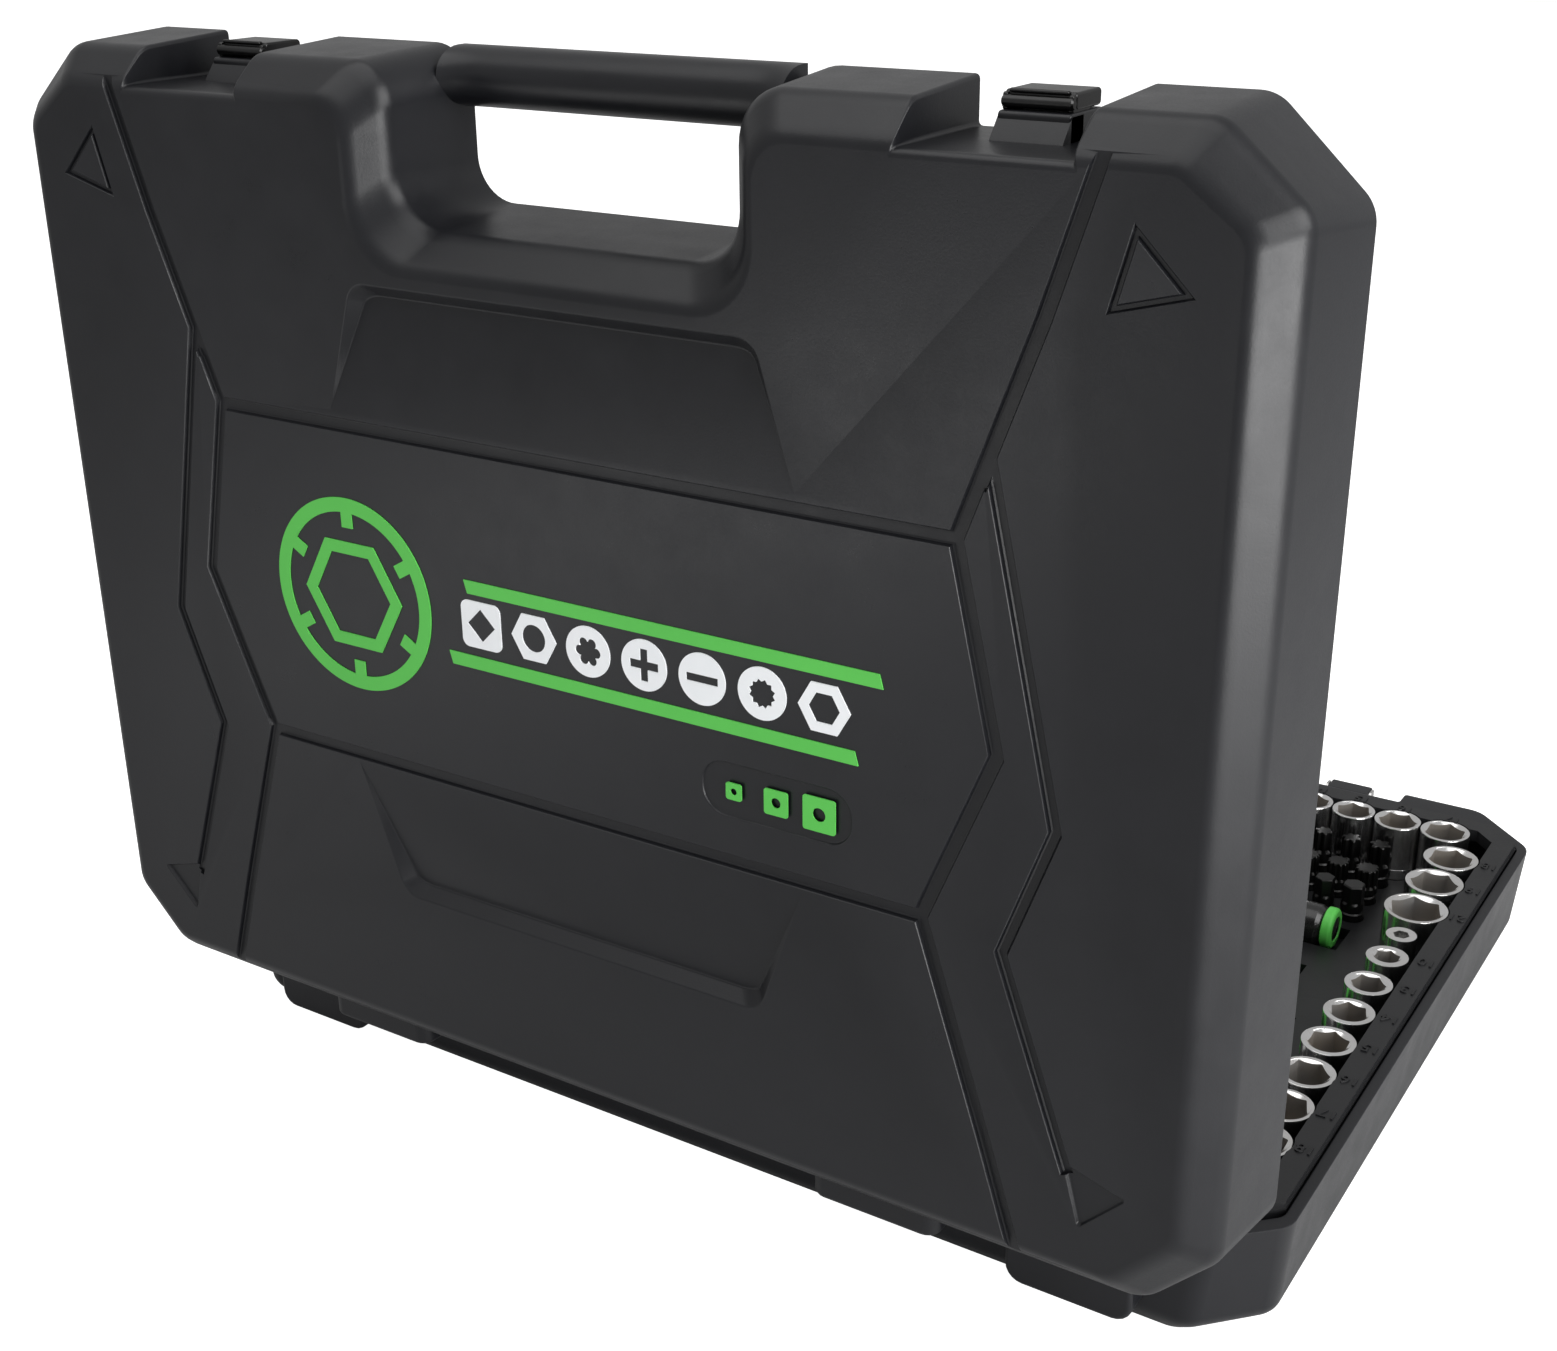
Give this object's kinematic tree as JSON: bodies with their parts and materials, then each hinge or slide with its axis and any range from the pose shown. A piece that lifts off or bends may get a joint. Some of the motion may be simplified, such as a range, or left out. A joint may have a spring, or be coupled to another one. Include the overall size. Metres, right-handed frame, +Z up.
{
  "type": "socket wrench set in case",
  "caption": "Socket wrench set in a moulded carrying case: hinged lid with latches, tool tray with standing sockets, ratchets, extensions, bits and a universal joint.",
  "frame": {"origin": "centre of the closed case's underside, between its front and rear walls", "axes": "+Z up; -Y towards the handle and latches, +Y towards the hinges; X along the hinge axis"},
  "size_m": [0.515, 0.4475, 0.447],
  "materials": {
    "case": "satin moulded plastic with a fine texture",
    "tray": "matte moulded plastic",
    "chrome": "bright satin chrome plate",
    "steel": "zinc plated steel",
    "latch_plate": "dark coated sheet steel",
    "bit_steel": "black phosphate",
    "grip": "semi-gloss black plastic",
    "green": "semi-gloss green",
    "white_mark": "raised white print"
  },
  "bodies": {
    "base": {"base_shell": "case", "tool_tray": "tray", "latch_keepers": "steel", "hinge_pins": "steel", "sockets_half_front": "chrome", "sockets_half_side": "chrome", "sockets_half_large": "chrome", "sockets_mid_side": "chrome", "sockets_quarter": "chrome", "bit_adaptor": "chrome", "star_bit_sockets": "bit_steel", "spline_bit_sockets": "bit_steel", "hex_bit_sockets": "bit_steel", "spark_plug_sockets": "chrome", "deep_sockets": "chrome", "bit_rail": "grip", "screwdriver_bits": "steel", "reducers": "chrome"},
    "lid": {"lid_shell": "case", "lid_inner_panel": "tray", "emblem_ring": "green", "emblem_stripes": "green", "drive_marks": "white_mark", "size_plate_marks": "green", "latch_lever_pins": "steel"},
    "latch_lever_left": {"latch_lever_left": "latch_plate"},
    "latch_lever_right": {"latch_lever_right": "latch_plate"},
    "latch_loop_left": {"latch_loop_left": "steel"},
    "latch_loop_right": {"latch_loop_right": "steel"},
    "spinner": {"spinner_grip": "grip", "spinner_ring": "green", "spinner_shaft": "chrome"},
    "sliding_bar": {"sliding_bar": "chrome"},
    "sliding_head": {"sliding_head": "chrome"},
    "universal_socket_yoke": {"universal_socket_yoke": "chrome"},
    "universal_cross": {"universal_cross": "chrome"},
    "universal_drive_yoke": {"universal_drive_yoke": "chrome"},
    "extension_half_long": {"extension_half_long": "chrome"},
    "extension_half_short": {"extension_half_short": "chrome"},
    "extension_mid": {"extension_mid": "chrome"},
    "extension_small": {"extension_small": "chrome"},
    "ratchet_half": {"ratchet_half_body": "chrome", "ratchet_half_grip": "grip", "ratchet_half_ring": "green"},
    "ratchet_half_selector": {"ratchet_half_selector": "grip"},
    "ratchet_half_drive": {"ratchet_half_drive": "chrome"},
    "ratchet_half_button": {"ratchet_half_button": "chrome"},
    "ratchet_mid": {"ratchet_mid_body": "chrome", "ratchet_mid_grip": "grip", "ratchet_mid_ring": "green"},
    "ratchet_mid_selector": {"ratchet_mid_selector": "grip"},
    "ratchet_mid_drive": {"ratchet_mid_drive": "chrome"},
    "ratchet_mid_button": {"ratchet_mid_button": "chrome"},
    "ratchet_small": {"ratchet_small_body": "chrome", "ratchet_small_grip": "grip", "ratchet_small_ring": "green"},
    "ratchet_small_selector": {"ratchet_small_selector": "grip"},
    "ratchet_small_drive": {"ratchet_small_drive": "chrome"},
    "ratchet_small_button": {"ratchet_small_button": "chrome"}
  },
  "joints": [
    {"name": "lid_hinge", "type": "hinge", "parent": "base", "child": "lid", "pos_m": [0, 0.198, 0.055], "axis": [-1, 0, 0], "range_deg": [-90, 0]},
    {"name": "latch_lever_left_hinge", "type": "hinge", "parent": "lid", "child": "latch_lever_left", "pos_m": [-0.1615, 0.2185, 0.4414], "axis": [-1, 0, 0], "range_deg": [0, 100]},
    {"name": "latch_loop_left_hinge", "type": "hinge", "parent": "base", "child": "latch_loop_left", "pos_m": [-0.1615, -0.1881, 0.049], "axis": [-1, 0, 0], "range_deg": [0, 168]},
    {"name": "latch_lever_right_hinge", "type": "hinge", "parent": "lid", "child": "latch_lever_right", "pos_m": [0.1615, 0.2185, 0.4414], "axis": [-1, 0, 0], "range_deg": [0, 100]},
    {"name": "latch_loop_right_hinge", "type": "hinge", "parent": "base", "child": "latch_loop_right", "pos_m": [0.1615, -0.1881, 0.049], "axis": [-1, 0, 0], "range_deg": [0, 168]},
    {"name": "ratchet_half_lift", "type": "slide", "parent": "base", "child": "ratchet_half", "axis": [0, 0, 1], "range_m": [0, 0.06]},
    {"name": "ratchet_half_selector_turn", "type": "hinge", "parent": "ratchet_half", "child": "ratchet_half_selector", "pos_m": [0.036, 0.018, 0.022], "axis": [0, 0, 1], "range_deg": [-20, 20]},
    {"name": "ratchet_half_drive_turn", "type": "hinge", "parent": "ratchet_half", "child": "ratchet_half_drive", "pos_m": [0.036, 0.018, 0.022], "axis": [0, 0, 1], "continuous": true},
    {"name": "ratchet_half_button_push", "type": "slide", "parent": "ratchet_half_drive", "child": "ratchet_half_button", "axis": [0, 0, -1], "range_m": [0, 0.002], "stiffness_N_per_m": 800, "springref_m": -0.0008},
    {"name": "ratchet_mid_lift", "type": "slide", "parent": "base", "child": "ratchet_mid", "axis": [0, 0, 1], "range_m": [0, 0.06]},
    {"name": "ratchet_mid_selector_turn", "type": "hinge", "parent": "ratchet_mid", "child": "ratchet_mid_selector", "pos_m": [-0.004, -0.03, 0.024], "axis": [0, 0, 1], "range_deg": [-20, 20]},
    {"name": "ratchet_mid_drive_turn", "type": "hinge", "parent": "ratchet_mid", "child": "ratchet_mid_drive", "pos_m": [-0.004, -0.03, 0.024], "axis": [0, 0, 1], "continuous": true},
    {"name": "ratchet_mid_button_push", "type": "slide", "parent": "ratchet_mid_drive", "child": "ratchet_mid_button", "axis": [0, 0, -1], "range_m": [0, 0.002], "stiffness_N_per_m": 800, "springref_m": -0.0008},
    {"name": "ratchet_small_lift", "type": "slide", "parent": "base", "child": "ratchet_small", "axis": [0, 0, 1], "range_m": [0, 0.06]},
    {"name": "ratchet_small_selector_turn", "type": "hinge", "parent": "ratchet_small", "child": "ratchet_small_selector", "pos_m": [-0.0565, -0.075, 0.0285], "axis": [0, 0, 1], "range_deg": [-20, 20]},
    {"name": "ratchet_small_drive_turn", "type": "hinge", "parent": "ratchet_small", "child": "ratchet_small_drive", "pos_m": [-0.0565, -0.075, 0.0285], "axis": [0, 0, 1], "continuous": true},
    {"name": "ratchet_small_button_push", "type": "slide", "parent": "ratchet_small_drive", "child": "ratchet_small_button", "axis": [0, 0, -1], "range_m": [0, 0.002], "stiffness_N_per_m": 800, "springref_m": -0.0008},
    {"name": "extension_half_long_lift", "type": "slide", "parent": "base", "child": "extension_half_long", "axis": [0, 0, 1], "range_m": [0, 0.06]},
    {"name": "extension_half_short_lift", "type": "slide", "parent": "base", "child": "extension_half_short", "axis": [0, 0, 1], "range_m": [0, 0.06]},
    {"name": "extension_mid_lift", "type": "slide", "parent": "base", "child": "extension_mid", "axis": [0, 0, 1], "range_m": [0, 0.06]},
    {"name": "extension_small_lift", "type": "slide", "parent": "base", "child": "extension_small", "axis": [0, 0, 1], "range_m": [0, 0.06]},
    {"name": "spinner_lift", "type": "slide", "parent": "base", "child": "spinner", "axis": [0, 0, 1], "range_m": [0, 0.06]},
    {"name": "sliding_bar_lift", "type": "slide", "parent": "base", "child": "sliding_bar", "axis": [0, 0, 1], "range_m": [0, 0.06]},
    {"name": "universal_socket_yoke_lift", "type": "slide", "parent": "base", "child": "universal_socket_yoke", "axis": [0, 0, 1], "range_m": [0, 0.06]},
    {"name": "sliding_head_slide", "type": "slide", "parent": "sliding_bar", "child": "sliding_head", "axis": [1, 0, 0], "range_m": [-0.02, 0.19]},
    {"name": "universal_pitch", "type": "hinge", "parent": "universal_socket_yoke", "child": "universal_cross", "pos_m": [0.128, 0.03, 0.026], "axis": [0, -1, 0], "range_deg": [0, 20]},
    {"name": "universal_yaw", "type": "hinge", "parent": "universal_cross", "child": "universal_drive_yoke", "pos_m": [0.128, 0.03, 0.026], "axis": [0, 0, 1], "range_deg": [-20, 20]}
  ]
}
